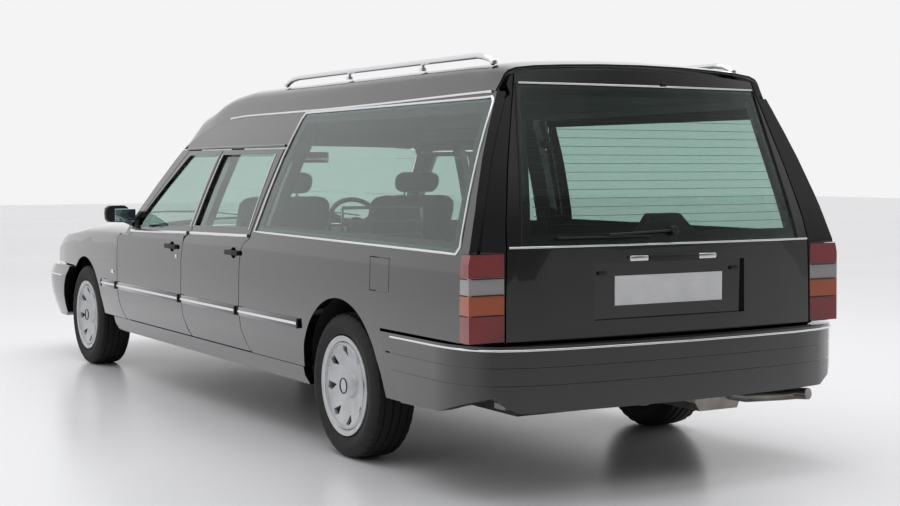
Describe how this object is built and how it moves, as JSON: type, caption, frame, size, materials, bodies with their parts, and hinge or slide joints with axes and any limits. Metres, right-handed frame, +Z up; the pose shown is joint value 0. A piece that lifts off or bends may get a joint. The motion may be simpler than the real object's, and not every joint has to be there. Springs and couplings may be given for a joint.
{
  "type": "hearse",
  "caption": "Long four-door hearse with a raised roof, load deck behind large side windows, opening doors, bonnet and tailgate, and wheels that steer and turn.",
  "frame": {"origin": "on the floor under the middle of the car's box", "axes": "+X towards the car's left side, -Y forwards, +Z up"},
  "size_m": [2.06, 5.58, 1.6465],
  "materials": {
    "black_paint": "deep gloss black body paint",
    "tinted_glass": "green-tinted safety glass",
    "underbody": "satin black underbody coating",
    "grille_plastic": "black moulded plastic",
    "headlamp_lens": "clear ribbed lamp glass",
    "tail_lamp_lens": "red, clear and amber acrylic bands",
    "cabin_trim": "grained grey trim",
    "seat_cloth": "woven grey seat cloth",
    "deck_board": "grey lined deck board",
    "chrome": "polished chrome",
    "cast_metal": "cast and forged running gear",
    "exhaust_steel": "bright steel pipe",
    "tank_plastic": "black moulded tank",
    "wheel_rim_plastic": "black padded rim",
    "plate": "blank plate",
    "tyre": "black tyre rubber",
    "wheel_cover": "silver lacquered cover"
  },
  "bodies": {
    "body": {"side_frames": "black_paint", "floor_pan": "underbody", "front_structure": "underbody", "front_fenders": "black_paint", "quarter_panels": "black_paint", "rear_posts": "black_paint", "roof": "black_paint", "windscreen": "tinted_glass", "side_windows": "tinted_glass", "front_bumper": "black_paint", "rear_bumper": "black_paint", "grille": "grille_plastic", "headlamps": "headlamp_lens", "tail_lamps": "tail_lamp_lens", "dashboard": "cabin_trim", "front_seats": "seat_cloth", "load_deck": "deck_board", "deck_fittings": "chrome", "roof_rails": "chrome", "engine": "cast_metal", "exhaust": "exhaust_steel", "fuel_tank": "tank_plastic", "rear_axle": "cast_metal", "front_axle": "cast_metal"},
    "bonnet": {"bonnet": "black_paint"},
    "tailgate": {"tailgate": "black_paint", "tailgate_window": "tinted_glass", "number_plate": "plate"},
    "fuel_flap": {"fuel_flap": "black_paint"},
    "front_left_door": {"front_left_door": "black_paint", "front_left_window": "tinted_glass", "left_mirror": "black_paint"},
    "front_right_door": {"front_right_door": "black_paint", "front_right_window": "tinted_glass", "right_mirror": "black_paint"},
    "rear_left_door": {"rear_left_door": "black_paint", "rear_left_window": "tinted_glass"},
    "rear_right_door": {"rear_right_door": "black_paint", "rear_right_window": "tinted_glass"},
    "left_knuckle": {"left_knuckle": "cast_metal"},
    "right_knuckle": {"right_knuckle": "cast_metal"},
    "steering_wheel": {"steering_wheel": "wheel_rim_plastic"},
    "front_left_wheel": {"front_left_wheel": "wheel_cover", "front_left_tyre": "tyre"},
    "front_right_wheel": {"front_right_wheel": "wheel_cover", "front_right_tyre": "tyre"},
    "rear_left_wheel": {"rear_left_wheel": "wheel_cover", "rear_left_tyre": "tyre"},
    "rear_right_wheel": {"rear_right_wheel": "wheel_cover", "rear_right_tyre": "tyre"}
  },
  "joints": [
    {"name": "front_left_door_swing", "type": "hinge", "parent": "body", "child": "front_left_door", "pos_m": [0.866, -1.156, 0.6], "axis": [0, 0, -1], "range_deg": [0, 65]},
    {"name": "front_right_door_swing", "type": "hinge", "parent": "body", "child": "front_right_door", "pos_m": [-0.866, -1.156, 0.6], "axis": [0, 0, 1], "range_deg": [0, 65]},
    {"name": "rear_left_door_swing", "type": "hinge", "parent": "body", "child": "rear_left_door", "pos_m": [0.866, -0.139, 0.6], "axis": [0, 0, -1], "range_deg": [0, 65]},
    {"name": "rear_right_door_swing", "type": "hinge", "parent": "body", "child": "rear_right_door", "pos_m": [-0.866, -0.139, 0.6], "axis": [0, 0, 1], "range_deg": [0, 65]},
    {"name": "tailgate_lift", "type": "hinge", "parent": "body", "child": "tailgate", "pos_m": [0, 2.454, 1.53], "axis": [1, 0, 0], "range_deg": [0, 78]},
    {"name": "bonnet_lift", "type": "hinge", "parent": "body", "child": "bonnet", "pos_m": [0, -1.19, 0.843], "axis": [-1, 0, 0], "range_deg": [0, 55]},
    {"name": "fuel_flap_swing", "type": "hinge", "parent": "body", "child": "fuel_flap", "pos_m": [0.882, 1.903, 0.788], "axis": [0, 0, -1], "range_deg": [0, 95]},
    {"name": "left_steer", "type": "hinge", "parent": "body", "child": "left_knuckle", "pos_m": [0.735, -1.893, 0.301], "axis": [0, 0, 1], "range_deg": [-30, 30]},
    {"name": "right_steer", "type": "hinge", "parent": "body", "child": "right_knuckle", "pos_m": [-0.735, -1.893, 0.301], "axis": [0, 0, 1], "range_deg": [-30, 30]},
    {"name": "steering_turn", "type": "hinge", "parent": "body", "child": "steering_wheel", "pos_m": [-0.381, -0.68, 0.852], "axis": [0, 0.9063, 0.4226], "range_deg": [-480, 480]},
    {"name": "front_left_spin", "type": "hinge", "parent": "left_knuckle", "child": "front_left_wheel", "pos_m": [0.77, -1.893, 0.301], "axis": [1, 0, 0], "continuous": true},
    {"name": "front_right_spin", "type": "hinge", "parent": "right_knuckle", "child": "front_right_wheel", "pos_m": [-0.77, -1.893, 0.301], "axis": [1, 0, 0], "continuous": true},
    {"name": "rear_left_spin", "type": "hinge", "parent": "body", "child": "rear_left_wheel", "pos_m": [0.77, 1.609, 0.301], "axis": [1, 0, 0], "continuous": true},
    {"name": "rear_right_spin", "type": "hinge", "parent": "body", "child": "rear_right_wheel", "pos_m": [-0.77, 1.609, 0.301], "axis": [1, 0, 0], "continuous": true}
  ],
  "couplings": [
    {"joint": "right_steer", "follows": "left_steer", "ratio": 1},
    {"joint": "steering_turn", "follows": "left_steer", "ratio": 16}
  ]
}
